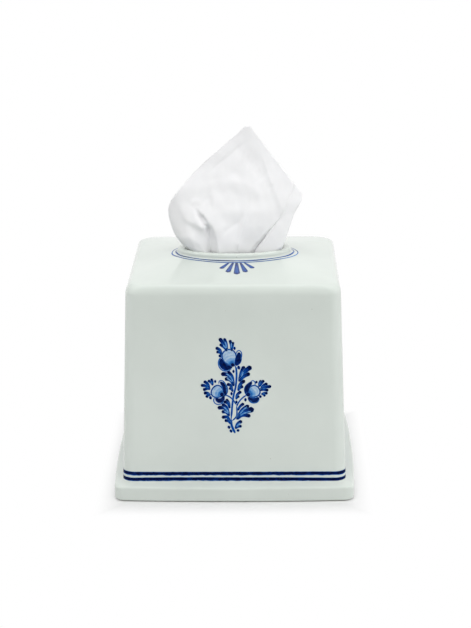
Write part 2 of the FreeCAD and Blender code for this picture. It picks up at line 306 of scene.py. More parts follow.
# The wiped rim, the soft lower edge, the face, the soft brow and the sloped ledge.
for height in (0, WIPED_UP):
    add_square(FOOT_HALF - WIPED_IN, FOOT_CORNER - WIPED_IN, height, FOOT_BOW, CLAY)
for angle in arc(90, EDGE_STEPS):
    inset = FOOT_EDGE * (1 - math.sin(angle))
    height = WIPED_UP + FOOT_EDGE * (1 - math.cos(angle))
    add_square(FOOT_HALF - inset, FOOT_CORNER, height, FOOT_BOW, GLAZED if angle else CLAY)
for height in FOOT_HEIGHTS:
    add_square(FOOT_HALF, FOOT_CORNER, height, FOOT_BOW)
for angle in arc(BROW_TURN, BROW_STEPS):
    inset = FOOT_BROW * (1 - math.cos(angle))
    add_square(FOOT_HALF - inset, FOOT_CORNER, BROW_HEIGHT + FOOT_BROW * math.sin(angle), FOOT_BOW)
ledge_end = rounded_square(BODY_HALF + COVE_OUT, BODY_CORNER, COVE_HEIGHT)
add_between(rings[-1][0], ledge_end, LEDGE_SHARES)
print(len(rings), "rings up to the ledge")

# %% Rings of the wall and the rim
WALL_COVE = ((0.3, 11.1), (0.08, 11.45), (0.0, 11.9))
WALL_HEIGHTS = (12.6, 20, 32, 46, 60, 74, 88, 102, 114, 122, 126)
RIM_REACH, RIM_DROP, RIM_TURN, RIM_STEPS, RIM_SOFTER = 4.2, 6.3, 83.3, 12, 1.2
# The cove over the ledge, the leaning wall, and the rim, which turns over with softer corners as it goes in.
for out, height in WALL_COVE:
    add_square(wall_half(height) + out, BODY_CORNER, height)
for height in WALL_HEIGHTS + (RIM_HEIGHT - RIM_DROP,):
    add_square(wall_half(height), BODY_CORNER, height)
for angle in arc(RIM_TURN, RIM_STEPS)[1:]:
    height = RIM_HEIGHT - RIM_DROP * (1 - math.sin(angle))
    inset = RIM_REACH * (1 - math.cos(angle))
    add_square(wall_half(height) - inset, BODY_CORNER + RIM_SOFTER * inset, height)
print(len(rings), "rings up to the rim")

# %% Rings of the pillow top, the collar and its bore
PILLOW_SHARES = (0.04, 0.1, 0.2, 0.34, 0.5, 0.66, 0.8, 0.88, 0.93)
COLLAR_COVE = ((0.75, 0.06), (0.3, 0.45), (0.06, 0.9))
LIP_ROUND, LIP_STEPS = 2.2, 8
BORE_BOTTOM = PILLOW_HEIGHT - WALL
BORE_COVE = ((0, 1.2), (0.5, 0.3), (1.5, 0))
# The pillow top, the cove at the collar's foot, its lip outside and inside, and the flare under the bore.
add_between(rings[-1][0], oval(*COLLAR_HALF, PILLOW_HEIGHT), PILLOW_SHARES)
for out, rise in COLLAR_COVE:
    add_oval(COLLAR_HALF, out, PILLOW_HEIGHT + rise)
for angle in arc(90, LIP_STEPS):
    inset, drop = LIP_ROUND * (1 - math.cos(angle)), LIP_ROUND * (1 - math.sin(angle))
    add_oval(COLLAR_HALF, -inset, COLLAR_TOP - drop)
for angle in arc(90, LIP_STEPS):
    grow, drop = LIP_ROUND * (1 - math.sin(angle)), LIP_ROUND * (1 - math.cos(angle))
    add_oval(BORE_HALF, grow, COLLAR_TOP - drop)
for out, rise in BORE_COVE:
    add_oval(BORE_HALF, out, BORE_BOTTOM + rise)
print(len(rings), "rings up to the foot of the bore")

# %% Rings of the hollow, down to the foot again
RIM_ROUND, INNER_TURN, INNER_STEPS = 8.4, 80, 4
ROOF_SHARES = (0, 0.3, 0.65)
HOLLOW_HEIGHTS, FOOT_INNER_HEIGHTS = (100, 70, 40, LEDGE_HEIGHT), (3.5, 0.6)
INNER_BEVEL = 0.6
roof_ring = oval(*COLLAR_HALF, BORE_BOTTOM)
inner_round = RIM_ROUND - WALL
inner_rings = []
for angle in reversed(arc(INNER_TURN, INNER_STEPS)):
    height = RIM_HEIGHT - RIM_ROUND + inner_round * math.sin(angle)
    half = wall_half(height) - WALL - inner_round * (1 - math.cos(angle))
    inner_rings.append(rounded_square(half, HOLLOW_CORNER, height))
add_between(roof_ring, inner_rings[0], ROOF_SHARES)
rings += [(ring, GLAZED) for ring in inner_rings]
for height in HOLLOW_HEIGHTS:
    add_square(wall_half(height) - WALL, HOLLOW_CORNER, height)
for height in FOOT_INNER_HEIGHTS:
    add_square(FOOT_HALF - WALL, HOLLOW_CORNER, height)
add_square(FOOT_HALF - WALL + INNER_BEVEL, HOLLOW_CORNER + INNER_BEVEL, 0, zone=CLAY)
print(len(rings), "rings in all")

# %% Extrude the rings and close the cover
cover_bm = bmesh.new()
start_row = add_row(cover_bm, None, rings[0][0], closed=True)
row = start_row
for ring, zone in rings[1:]:
    row = add_row(cover_bm, row, ring, closed=True, material=zone)
loops = [cover_bm.edges.get(pair) for ends in (row, start_row) for pair in neighbours(ends, closed=True)]
for face in bmesh.ops.bridge_loops(cover_bm, edges=loops)["faces"]:
    face.material_index = CLAY
bmesh.ops.recalc_face_normals(cover_bm, faces=cover_bm.faces)
glaze_surface = BVHTree.FromBMesh(cover_bm)
finished("ceramic_cover", cover_bm, (glaze, bare_clay), "cover", "glazed_shell", "cover_shell")

# %% [markdown]
# ## Cobalt brushwork
# The painter used a round brush loaded with cobalt oxide: a touch leaves a round head, and a pull thins to a
# tail. Each touch here is a short row of vertices that is extruded along a smooth path and dropped onto the
# glaze. A vertex attribute, wash, says how much cobalt lies there, and the material turns it into colour,
# from pale blue to nearly black. The outermost vertices hold little cobalt, so that a stroke bleeds into the
# glaze at its edges. On the top, where more glaze pooled, a glossier copy of the material looks milkier. An
# image could hold the painting too, but strokes of mesh need no file and stay crisp from close by.

# %% Cobalt under glaze
COBALT = ((0.0, "#cfdae2"), (0.2, "#a0b9d0"), (0.4, "#4f8cc6"),
          (0.6, "#0e52a2"), (0.8, "#042f7c"), (1.0, "#020a34"))
DRIFT_SIZE, DRIFT = 1.6 * MM, 0.07
WALL_GLOSS, TOP_GLOSS = 0.03, 0.4
cobalt, tree, shader = new_material("cobalt_under_glaze")
wash = add_node(tree, "ShaderNodeAttribute", attribute_name="wash").outputs["Fac"]
place = add_node(tree, "ShaderNodeTexCoord").outputs["Object"]
bloom = add_node(tree, "ShaderNodeTexNoise", {"Vector": place, "Scale": 1 / DRIFT_SIZE, "Detail": 3})
drift = add_node(tree, "ShaderNodeMapRange", {
    "Value": bloom, "From Min": 0.3, "From Max": 0.7, "To Min": -DRIFT, "To Max": DRIFT})
depth = add_node(tree, "ShaderNodeMath", {0: wash, 1: drift}, operation="ADD", use_clamp=True)
ink = add_node(tree, "ShaderNodeValToRGB", {"Fac": depth})
paint_ramp(ink, COBALT)
set_inputs(tree, shader, {
    "Base Color": ink, "Roughness": 0.14, "IOR": GLAZE_IOR, "Specular IOR Level": WALL_GLOSS})
cobalt_top = cobalt.copy()
cobalt_top.name = "cobalt_under_pooled_glaze"
top_tree = cobalt_top.node_tree
set_inputs(top_tree, top_tree.nodes["Principled BSDF"], {"Specular IOR Level": TOP_GLOSS})

# %% Where the brush touches
CLEAR_FRONT, CLEAR_ABOVE = -200, 300


def on_front(across, up):
    """The glaze behind a spot of the front: its place and its normal."""
    return glaze_surface.ray_cast(Vector((across, CLEAR_FRONT, up)), Vector((0, 1, 0)))[:2]


def on_top(across, deep):
    """The glaze below a spot of the top: its place and its normal."""
    return glaze_surface.ray_cast(Vector((across, deep, CLEAR_ABOVE)), Vector((0, 0, -1)))[:2]


def smooth_path(points, steps):
    """Points along a smooth curve through the ones given."""
    points = [Vector(point) for point in points]
    ends = [2 * points[0] - points[1]] + points + [2 * points[-1] - points[-2]]
    path = []
    for before, start, end, after in zip(ends, ends[1:], ends[2:], ends[3:]):
        bend = 2 * before - 5 * start + 4 * end - after
        twist = 3 * start - before - 3 * end + after
        for step in range(steps):
            t = step / steps
            path.append(0.5 * (2 * start + (end - before) * t + bend * t * t + twist * t * t * t))
    return path + [points[-1]]


print("the glaze 80 mm up the front is at", [round(side, 1) for side in on_front(0, 80)[0]])

# %% One pull of the brush
STROKE_STEPS = 14
LIFT, COAT = 0.05, 0.0006
BLEED, BLEED_SHARE, BLEED_LOAD = 0.3, 0.6, 0.3
coats = itertools.count()
ornament_bm = bmesh.new()
wash_layer = ornament_bm.verts.layers.float.new("wash")


def stroke(cast, points, width, load, profile=None, ramp=None):
    """One pull of the brush, with a load of cobalt in the middle and at the edge.

    The profile gives the share of the width along the stroke, and the ramp how much cobalt is added.
    """
    path = smooth_path(points, max(3, STROKE_STEPS // (len(points) - 1)))
    last = len(path) - 1
    lift = LIFT + COAT * next(coats)
    middle, edge = load
    row = None
    for index, here in enumerate(path):
        share = index / last
        along = (path[min(index + 1, last)] - path[max(index - 1, 0)]).normalized()
        side = Vector((-along.y, along.x))
        half = width / 2 * (profile(share) if profile else 1)
        outer = half + min(BLEED, BLEED_SHARE * half)
        places = []
        for offset in (-outer, -half, -half / 2, 0, half / 2, half, outer):
            spot, normal = cast(*(here + side * offset))
            places.append(spot + normal * lift)
        row = add_row(ornament_bm, row, places)
        added = ramp(share) if ramp else 0
        loads = [min(1, part + added) for part in (edge, middle, middle, middle, edge)]
        for vertex, part in zip(row, [BLEED_LOAD] + loads + [BLEED_LOAD]):
            vertex[wash_layer] = part


# %% Profiles and ramps of the strokes
def round_end(share, over):
    """The width of a round end that takes up a share of the stroke."""
    return math.sqrt(max(0.01, 1 - (1 - min(1, share / over)) ** 2))


def comma_profile(share):
    """Round at its head, and thinner towards a round tail."""
    return round_end(share, 0.14) * round_end(1 - share, 0.1) * (1 - 0.5 * share)


def comma_ramp(share):
    """Darkest where the brush first touched, and darker again where it left."""
    return 0.5 * max(0, 1 - share / 0.5) + 0.34 * max(0, (share - 0.66) / 0.34)


def fan_profile(share):
    """Round and broad at its head, and drawn out to a fine tail."""
    return round_end(share, 0.12) * (1 - 0.72 * share)


def fan_ramp(share):
    """A little darker at both ends."""
    return 0.22 * max(0, 1 - share / 0.2) + 0.3 * max(0, (share - 0.6) / 0.4)


def swell_profile(share):
    """Full in the middle and pointed at both ends."""
    return math.sin(math.pi * (0.03 + 0.94 * share)) ** 0.7


def line_profile(share):
    """Even, with short pointed ends."""
    return min(1, 0.35 + 6 * min(share, 1 - share))


print("a comma's width along it:", [round(comma_profile(step / 4), 2) for step in range(5)])

# %% Commas and dots
COMMA_SPREAD, COMMA_LOAD = 1.16, (0.66, 0.88)
HEAD_REACH, TAIL_REACH = 0.8, 0.5
DOT_SPREAD, DOT_STRETCH, DOT_LOAD = 1.25, 1.3, (0.97, 0.88)


def comma(tip, bend, base, width):
    """A leaf's stroke. The brush's round head reaches past the tip, and its tail past the base."""
    tip, bend, base = Vector(tip), Vector(bend), Vector(base)
    head = tip + (tip - bend).normalized() * HEAD_REACH
    tail = base + (base - bend).normalized() * TAIL_REACH
    stroke(on_front, (head, bend, tail), width * COMMA_SPREAD, COMMA_LOAD, comma_profile, comma_ramp)


def dot(across, up, width, height, lean=0.0):
    """A short touch of the brush, whose top may lean sideways."""
    centre = Vector((across, up))
    reach = Vector((lean, height / 2)) * DOT_STRETCH
    stroke(on_front, (centre + reach, centre, centre - reach), width * DOT_SPREAD, DOT_LOAD, swell_profile)


# %% Petals: ovals of thin wash with darker shade where the brush first touched
PETAL_STEPS, PETAL_RINGS, PETAL_SIZE, PETAL_FILL = 28, 6, 0.94, 0.98
PETAL_NARROWS, PETAL_LIFT = 0.2, 0.6
PETAL_PALE, PETAL_DEEP, PETAL_SHADE, SHADE_POWER = 0.2, 0.62, 5.2, 1.3
PETAL_STREAK, PETAL_STREAKS = 0.05, 3.4
PETAL_LINE, PETAL_LINE_LOAD = 0.6, (0.8, 0.68)


def petal(centre, half_length, half_width, touch):
    """An egg that narrows to the spot the brush first touched, in thin wash that deepens towards it."""
    centre, touch = Vector(centre), Vector(touch)
    along = (touch - centre).normalized()
    side = Vector((-along.y, along.x))

    def rim(angle, size):
        narrow = half_width * (1 - PETAL_NARROWS * math.cos(angle))
        return centre + size * (along * half_length * math.cos(angle) + side * narrow * math.sin(angle))

    row = None
    for ring in range(PETAL_RINGS + 1):
        size = PETAL_SIZE * (1 - ring / PETAL_RINGS * PETAL_FILL)
        here = [rim(2 * math.pi * step / PETAL_STEPS, size) for step in range(PETAL_STEPS)]
        hits = [on_front(*point) for point in here]
        places = [spot + normal * LIFT * PETAL_LIFT for spot, normal in hits]
        row = add_row(ornament_bm, row, places, closed=True)
        for vertex, point in zip(row, here):
            far = (point - touch).length
            shade = PETAL_DEEP * max(0, 1 - far / PETAL_SHADE) ** SHADE_POWER
            vertex[wash_layer] = PETAL_PALE + shade + PETAL_STREAK * math.sin(far * PETAL_STREAKS)
    around = [rim(angle, 1) for angle in arc(360, 20)]
    stroke(on_front, around, PETAL_LINE, PETAL_LINE_LOAD)


petal((-2.3, 91.7), 5.2, 4.2, (-0.5, 87.0))
petal((-9.9, 69.8), 3.7, 3.9, (-7.0, 67.9))
petal((12.2, 69.8), 4.1, 3.6, (9.1, 68.1))
print(len(ornament_bm.faces), "faces of brushwork with the petals")

# %% Sepals, outlines and spots round the three buds
SEPALS = (
    (((-7.5, 91.0), (-6.9, 87.9), (-4.6, 85.4), (-0.7, 85.8)), 4.5),
    (((1.4, 86.6), (3.0, 90.2), (3.6, 95.0)), 4.3),
    (((-8.2, 76.2), (-5.6, 73.3), (-5.2, 69.6), (-6.9, 66.2)), 3.5),
    (((-11.2, 66.0), (-9.4, 64.2), (-7.2, 64.6), (-5.9, 67.2)), 3.1),
    (((8.0, 67.8), (8.3, 72.0), (11.2, 76.2)), 3.4),
    (((8.9, 66.3), (11.3, 64.2), (14.0, 64.4), (15.5, 66.2)), 3.7),
)
BUD_LINES = (
    (((-6.4, 92.0), (-8.4, 91.0), (-9.3, 88.6), (-8.7, 85.6), (-6.8, 83.6), (-3.6, 83.0), (-1.2, 84.4)),
     0.55),
    (((1.9, 94.2), (2.3, 95.6), (3.5, 96.2), (4.8, 95.3), (5.2, 93.2), (4.7, 90.8)), 0.55),
    (((-9.2, 74.9), (-8.7, 76.7), (-7.0, 77.0), (-5.2, 75.2), (-4.2, 72.0), (-4.3, 69.0)), 0.55),
    (((-11.6, 66.4), (-12.4, 64.4), (-11.6, 62.5), (-9.8, 61.7), (-7.4, 62.2), (-5.9, 64.2)), 0.6),
    (((10.6, 76.4), (12.2, 76.9), (13.3, 75.6), (13.1, 73.6)), 0.55),
    (((9.8, 64.4), (11.8, 62.6), (14.4, 62.9), (15.8, 64.8)), 0.5),
)
SEPAL_SPREAD, SEPAL_LOAD = 0.88, (0.95, 0.86)
BUD_LINE_SPREAD, BUD_LINE_LOAD = 0.8, (0.68, 0.58)
for points, width in SEPALS:
    stroke(on_front, points, width * SEPAL_SPREAD, SEPAL_LOAD, swell_profile)
for points, width in BUD_LINES:
    stroke(on_front, points, width * BUD_LINE_SPREAD, BUD_LINE_LOAD, line_profile)
dot(-0.5, 87.0, 2.0, 1.8)
dot(-7.2, 68.1, 1.9, 1.9)
dot(9.0, 68.0, 2.2, 2.0)
print(len(ornament_bm.faces), "faces of brushwork with the buds")

# %% Stems
STEMS = (
    (((0.8, 86.7), (1.7, 84.6), (1.9, 80.8), (1.7, 76.7), (1.2, 72.5),
      (0.3, 68.8), (-0.4, 65.0), (-0.9, 60.8), (-1.3, 55.8), (-1.7, 51.7)), 1.0),
    (((-1.7, 52.0), (-1.5, 48.8), (-0.7, 46.3), (0.8, 43.0)), 1.3),
    (((-4.9, 67.7), (-3.0, 66.9), (-1.1, 65.4), (0.8, 62.9), (1.7, 61.5)), 0.75),
    (((8.0, 67.6), (6.0, 66.3), (4.1, 64.4), (2.6, 62.1), (1.8, 60.0)), 0.75),
    (((1.8, 60.8), (2.0, 57.5), (1.8, 54.4), (0.8, 52.7), (-0.9, 51.2)), 0.75),
)
STEM_SPREAD, STEM_LOAD = 0.84, (0.74, 0.64)
for points, width in STEMS:
    stroke(on_front, points, width * STEM_SPREAD, STEM_LOAD, line_profile)
print(len(ornament_bm.faces), "faces of brushwork with the stems")

# %% Leaves and crests, each a fan of comma strokes from tip to base, with pale veins
LEAVES = (
    ((-8.1, 103.5), (-5.9, 100.4), (-3.9, 96.5), 1.8), ((-5.4, 103.4), (-4.2, 100.8), (-3.8, 96.5), 1.2),
    ((-7.7, 99.9), (-5.9, 98.5), (-4.0, 96.2), 1.4), ((-1.9, 102.3), (-1.3, 99.6), (-1.2, 96.3), 1.3),
    ((-0.2, 101.0), (-0.5, 98.8), (-1.0, 96.3), 1.2), ((-10.2, 97.7), (-8.2, 96.5), (-7.5, 94.0), 1.5),
    ((-9.7, 95.2), (-8.6, 95.0), (-7.6, 94.0), 1.2),
    ((-7.0, 81.2), (-2.8, 80.2), (0.1, 73.8), 2.1), ((-3.1, 82.5), (-0.7, 79.4), (0.1, 73.8), 1.5),
    ((-4.7, 78.1), (-2.0, 77.3), (0.1, 73.8), 1.8),
    ((-3.5, 74.5), (-1.6, 73.6), (-0.7, 70.2), 1.5), ((-2.2, 71.9), (-1.4, 71.5), (-0.7, 70.2), 1.2),
    ((6.4, 85.6), (4.7, 81.6), (3.5, 76.7), 1.9), ((10.5, 85.5), (7.0, 82.6), (3.5, 76.7), 2.4),
    ((9.5, 81.3), (6.4, 79.6), (3.5, 76.7), 1.9),
    ((6.5, 76.7), (4.0, 74.4), (2.9, 70.8), 1.7), ((5.3, 73.1), (4.0, 72.4), (2.9, 70.8), 1.5),
    ((4.2, 69.6), (2.3, 68.0), (1.6, 65.3), 1.4), ((2.9, 66.7), (2.2, 66.2), (1.6, 65.3), 1.2),
    ((-19.5, 74.0), (-17.0, 73.5), (-14.8, 71.6), 1.5), ((-17.8, 76.3), (-15.8, 74.7), (-15.0, 72.0), 1.4),
    ((-18.2, 71.2), (-16.4, 71.8), (-14.8, 71.6), 1.4), ((-15.2, 76.8), (-13.9, 75.8), (-13.0, 74.3), 1.2),
    ((-13.5, 77.7), (-13.0, 76.0), (-12.9, 74.3), 1.1), ((-17.7, 69.0), (-15.9, 68.9), (-14.8, 67.5), 1.5),
    ((-16.5, 66.7), (-15.8, 67.6), (-14.9, 67.7), 1.3),
    ((16.8, 76.5), (16.0, 75.2), (15.8, 73.3), 1.3), ((18.3, 76.6), (17.2, 75.2), (16.0, 73.3), 1.3),
    ((20.3, 74.8), (18.2, 73.5), (16.6, 71.0), 1.4), ((22.6, 73.1), (19.4, 72.7), (16.7, 70.8), 1.5),
    ((20.8, 70.8), (18.7, 71.1), (16.8, 70.8), 1.3), ((20.3, 68.8), (18.9, 68.9), (17.4, 68.3), 1.2),
    ((19.0, 67.4), (18.4, 68.0), (17.5, 68.3), 1.0),
    ((-4.3, 64.6), (-3.0, 62.6), (-2.5, 59.5), 1.3), ((-5.5, 63.3), (-3.6, 62.3), (-2.5, 59.5), 1.4),
    ((-9.3, 59.5), (-5.4, 59.1), (-2.9, 54.4), 1.9), ((-6.7, 61.5), (-4.2, 59.4), (-2.9, 54.4), 1.6),
    ((-6.8, 56.9), (-4.7, 56.5), (-2.9, 54.4), 1.6), ((-6.8, 53.3), (-3.8, 53.3), (-2.3, 49.4), 1.6),
    ((-5.0, 51.2), (-3.4, 50.9), (-2.3, 49.4), 1.4), ((5.8, 61.9), (3.9, 60.3), (2.8, 58.1), 1.4),
    ((8.9, 60.6), (5.0, 57.8), (1.9, 52.3), 1.9), ((11.8, 58.5), (6.6, 56.6), (1.9, 52.3), 2.9),
    ((9.7, 54.2), (5.6, 54.6), (1.9, 52.3), 1.8), ((4.5, 50.6), (2.3, 49.0), (1.2, 46.2), 1.7),
    ((4.2, 47.5), (2.7, 47.3), (1.2, 46.2), 1.3),
)
VEINS = (
    ((-4.9, 101.7), (-4.4, 99.8), (-3.9, 97.9)), ((-6.2, 99.7), (-4.5, 97.7)), ((-1.1, 100.8), (-1.3, 98.1)),
    ((-4.5, 81.4), (-2.0, 79.6), (-0.3, 76.4)), ((-4.1, 78.7), (-1.1, 76.4)), ((6.1, 82.6), (4.9, 79.6)),
    ((8.2, 60.1), (5.8, 58.0), (4.0, 55.6)), ((10.7, 57.2), (7.0, 56.2), (4.0, 54.6)),
    ((-6.2, 60.1), (-4.2, 58.2), (-3.2, 56.5)), ((-5.8, 57.4), (-3.3, 56.0)), ((1.8, 47.4), (4.0, 49.7)),
)
VEIN_WIDTH, VEIN_LOAD = 0.45, (0.36, 0.48)
for tip, bend, base, width in LEAVES:
    comma(tip, bend, base, width)
for points in VEINS:
    stroke(on_front, points, VEIN_WIDTH, VEIN_LOAD, line_profile)
print(len(ornament_bm.faces), "faces of brushwork with the leaves")

# %% Loose dots
DOTS = (
    (0.8, 97.6, 0.8, 1.7, 0.0), (-8.2, 92.8, 1.1, 1.4, -0.2), (3.3, 85.3, 1.1, 1.9, -0.3),
    (0.0, 82.9, 0.8, 1.7, 0.0), (-1.3, 68.6, 0.8, 1.8, 0.0), (1.7, 63.3, 0.8, 1.5, 0.0),
    (-11.3, 76.5, 0.8, 1.6, 0.0), (-14.3, 66.0, 1.1, 1.6, -0.3), (14.1, 76.0, 0.9, 1.3, 0.2),
    (16.5, 66.7, 1.0, 1.4, -0.2), (7.3, 64.7, 0.9, 1.8, 0.0), (-3.0, 46.9, 1.1, 1.6, -0.3),
    (-1.8, 44.4, 1.0, 1.7, -0.3), (2.6, 44.8, 1.1, 1.3, -0.3),
)
for across, up, width, height, lean in DOTS:
    dot(across, up, width, height, lean)
print(len(DOTS), "loose dots")

# %% Two bands round the body, in rows of level, load and raggedness
BAND_ROWS = (
    (0.58, 0.25, 0.1), (0.5, 0.7, 0.1), (0.42, 1.0, 0.1), (0.1, 1.0, 0),
    (-0.28, 1.0, 0), (-0.4, 0.85, 0.25), (-0.48, 0.6, 0.35), (-0.6, 0.22, 0.35),
)
BAND_SIDE_STEPS = 84
BAND_SWAY, BAND_SWAY_SIZE, BAND_RAGGED_SIZE = 0.35, 45, 2.2
BAND_MOTTLE, BAND_MOTTLE_SIZE = 0.1, 9


def band(middle, width, seed):
    """A band from its crisp upper edge to its feathered lower one, brushed while the cover was turned."""
    row = None
    for level, load, ragged in BAND_ROWS:
        height = middle + width * level
        places = rounded_square(wall_half(height) + LIFT, BODY_CORNER, height, side_steps=BAND_SIDE_STEPS)
        for spot in places:
            spot.z += BAND_SWAY * noise.noise((spot.x / BAND_SWAY_SIZE, spot.y / BAND_SWAY_SIZE, seed))
            rough = noise.noise((spot.x / BAND_RAGGED_SIZE, spot.y / BAND_RAGGED_SIZE, seed + level))
            spot.z += ragged * rough
        row = add_row(ornament_bm, row, places, closed=True)
        for vertex in row:
            spot = (vertex.co.x / BAND_MOTTLE_SIZE, vertex.co.y / BAND_MOTTLE_SIZE, seed + level)
            vertex[wash_layer] = min(1, load + BAND_MOTTLE * noise.noise(spot))


band(16.6, 2.15, 1.0)
band(12.85, 2.15, 6.0)
print(len(ornament_bm.faces), "faces of brushwork with the bands")

# %% Two rings round the collar
RING_STEPS, RING_START, RING_SHIFT, RING_SWAY = 48, 0.9, 0.3, 0.012
RING_EDGE = 0.06


def collar_ring(half_width, half_depth, width, load):
    """A ring in one pull of the brush, broader at the front than at the back."""

    def turned(share):
        return 2 * math.pi * share + RING_START

    def swell(share):
        return 0.62 + 0.45 * max(0, -math.sin(turned(share))) + 0.3 * noise.noise((17 * share, half_depth, 0))

    def ramp(share):
        return 0.14 * math.cos(turned(share) - 3.8) + 0.24 * noise.noise((13 * share, 0, half_width))

    points = []
    for step in range(RING_STEPS + 1):
        angle = turned(step / RING_STEPS)
        sway = 1 + RING_SWAY * noise.noise((3 * math.cos(angle), 3 * math.sin(angle), half_width))
        points.append((RING_SHIFT + half_width * sway * math.cos(angle), half_depth * sway * math.sin(angle)))
    stroke(on_top, points, width, (load, load - RING_EDGE), swell, ramp)


collar_ring(37.8, 23.8, 0.9, 0.8)
collar_ring(40.4, 26.5, 0.75, 0.68)
print(len(ornament_bm.faces), "faces of brushwork with the rings")

# %% A small fan in front of the collar
FAN = (
    ((2.2, -46.0), (1.8, -26.8), 3.8), ((-3.7, -42.7), (-0.4, -26.8), 3.1), ((7.8, -42.6), (4.2, -26.8), 3.1),
    ((-8.0, -36.6), (-3.0, -26.6), 2.7), ((12.4, -36.0), (6.6, -26.6), 2.7),
)
FAN_LOAD = (0.66, 0.95)
for tip, base, width in FAN:
    stroke(on_top, (tip, base), width, FAN_LOAD, fan_profile, fan_ramp)
print(len(FAN), "strokes in the fan")

# %% The brushwork as one piece on the cover
TOP_FROM = 125
bmesh.ops.recalc_face_normals(ornament_bm, faces=ornament_bm.faces)
for face in ornament_bm.faces:
    middle = face.calc_center_median()
    face.material_index = int(middle.z > TOP_FROM)
    outward = Vector((0, 0, 1)) if face.material_index else Vector((middle.x, middle.y, 0))
    if face.normal.dot(outward) < 0:
        face.normal_flip()
finished("cobalt_brushwork", ornament_bm, (cobalt, cobalt_top), "cover", "glazed_shell")

# %% [markdown]
# ## Tissue paper
# Facial tissue is soft, creped paper: thin, matt and slightly translucent, with fine crepe lines across it
# and a loose net of fibres. A rough white shader with a fine bump gives the fibres, a little sheen gives the
# pale bloom at its edges, and a translucent shader mixed in lets some light through. Real crepe lines are
# about 0.3 mm apart, drawn here at 0.8 mm so that they show.

# %% Tissue paper material
PULP_CLOUD, CREPE_SIZE, CREPE_HEIGHT = 14 * MM, 0.8 * MM, 0.15 * MM
CREPE_TURN, CREPE_STRETCH = math.radians(40), 0.3
TRANSLUCENCY = 0.1
tissue_paper, tree, shader = new_material("creped_tissue_paper")
place = add_node(tree, "ShaderNodeTexCoord").outputs["Object"]
cloud = add_node(tree, "ShaderNodeTexNoise", {"Vector": place, "Scale": 1 / PULP_CLOUD, "Detail": 4})
tone = add_node(tree, "ShaderNodeValToRGB", {"Fac": cloud})
paint_ramp(tone, ((0.3, "#f1f1f2"), (0.7, "#f5f5f6")))
crepe = add_node(tree, "ShaderNodeMapping", {
    "Vector": place, "Rotation": (0, CREPE_TURN, 0), "Scale": (CREPE_STRETCH, 1, 1)})
fibres = add_node(tree, "ShaderNodeTexNoise", {"Vector": crepe, "Scale": 1 / CREPE_SIZE, "Detail": 3})
skin = add_node(tree, "ShaderNodeBump", {"Height": fibres, "Strength": 0.22, "Distance": CREPE_HEIGHT})
set_inputs(tree, shader, {"Base Color": tone, "Normal": skin, "Roughness": 0.95})
set_inputs(tree, shader, {"Sheen Weight": 0.12, "Specular IOR Level": 0.2})
through = add_node(tree, "ShaderNodeBsdfTranslucent", {"Color": tone, "Normal": skin})
both = add_node(tree, "ShaderNodeMixShader", {0: TRANSLUCENCY, 1: shader, 2: through})
set_inputs(tree, tree.nodes["Material Output"], {"Surface": both})

# %% [markdown]
# ## The standing sheet
# A sheet stands up through the collar by one corner. It is doubled round a fold on its left: the front layer
# ends in a free edge that runs from the right corner down to the collar. The back layer goes on to the right
# of that edge as a flap, which comes forward and laps over it. Below the collar both layers are gathered to
# pass the slit. Cloth simulation would choose its own folds, so the sheet is drawn instead. Each row
# runs along the front layer, round the fold and along the back, and is extruded upward, row by row.

# %% Outlines of the standing sheet, across and up in mm, drawn from the corner down
def outline(points):
    return smooth_path(points, 6)


LEFT_FOLD = outline((
    (8.6, 224.3), (-6.5, 211.2), (-22.1, 197.7), (-31.2, 188.0), (-37.9, 179.8), (-41.2, 173.5),
    (-42.0, 168.5), (-41.0, 162.4), (-38.3, 154.3), (-34.4, 148.2), (-30.4, 144.2), (-28.6, 138.0),
    (-29.2, 124.0), (-29.2, 72.1)))
RIGHT_EDGE = outline((
    (9.6, 224.3), (23.2, 206.9), (37.8, 188.1), (41.8, 183.1), (43.2, 179.5), (42.6, 176.2), (38.5, 168.9),
    (35.3, 160.0), (32.9, 152.7), (30.4, 146.4), (28.8, 140.0), (29.0, 132.0), (29.2, 124.0), (29.2, 72.1)))
FREE_EDGE = outline((
    (9.5, 224.3), (23.0, 206.9), (37.2, 188.6), (37.9, 185.5), (36.9, 180.2), (34.4, 174.0), (31.4, 167.2),
    (25.0, 159.2), (20.3, 152.0), (15.5, 145.5), (14.3, 140.0), (22.0, 130.0), (28.4, 124.0), (28.4, 72.1)))
ROLL_EDGE = outline((
    (9.4, 224.3), (22.8, 206.9), (36.6, 188.6), (36.9, 185.7), (35.2, 180.2), (32.6, 174.0), (29.0, 167.2),
    (22.0, 159.2), (15.4, 152.6), (10.6, 146.3), (9.0, 140.0), (18.0, 130.0), (27.4, 124.0), (27.4, 72.1)))


def across_at(drawn, up):
    """How far across a drawn outline is at a height."""
    for upper, lower in zip(drawn, drawn[1:]):
        if lower.y <= up:
            return upper.x + (lower.x - upper.x) * (upper.y - up) / (upper.y - lower.y)
    return drawn[-1].x


def eased(value, low, high):
    """0 up to a low value, 1 from a high one on, and a smooth rise between them."""
    share = min(1, max(0, (value - low) / (high - low)))
    return share * share * (3 - 2 * share)


print("the sheet is", round(across_at(RIGHT_EDGE, 180) - across_at(LEFT_FOLD, 180), 1), "mm wide at 180 mm")

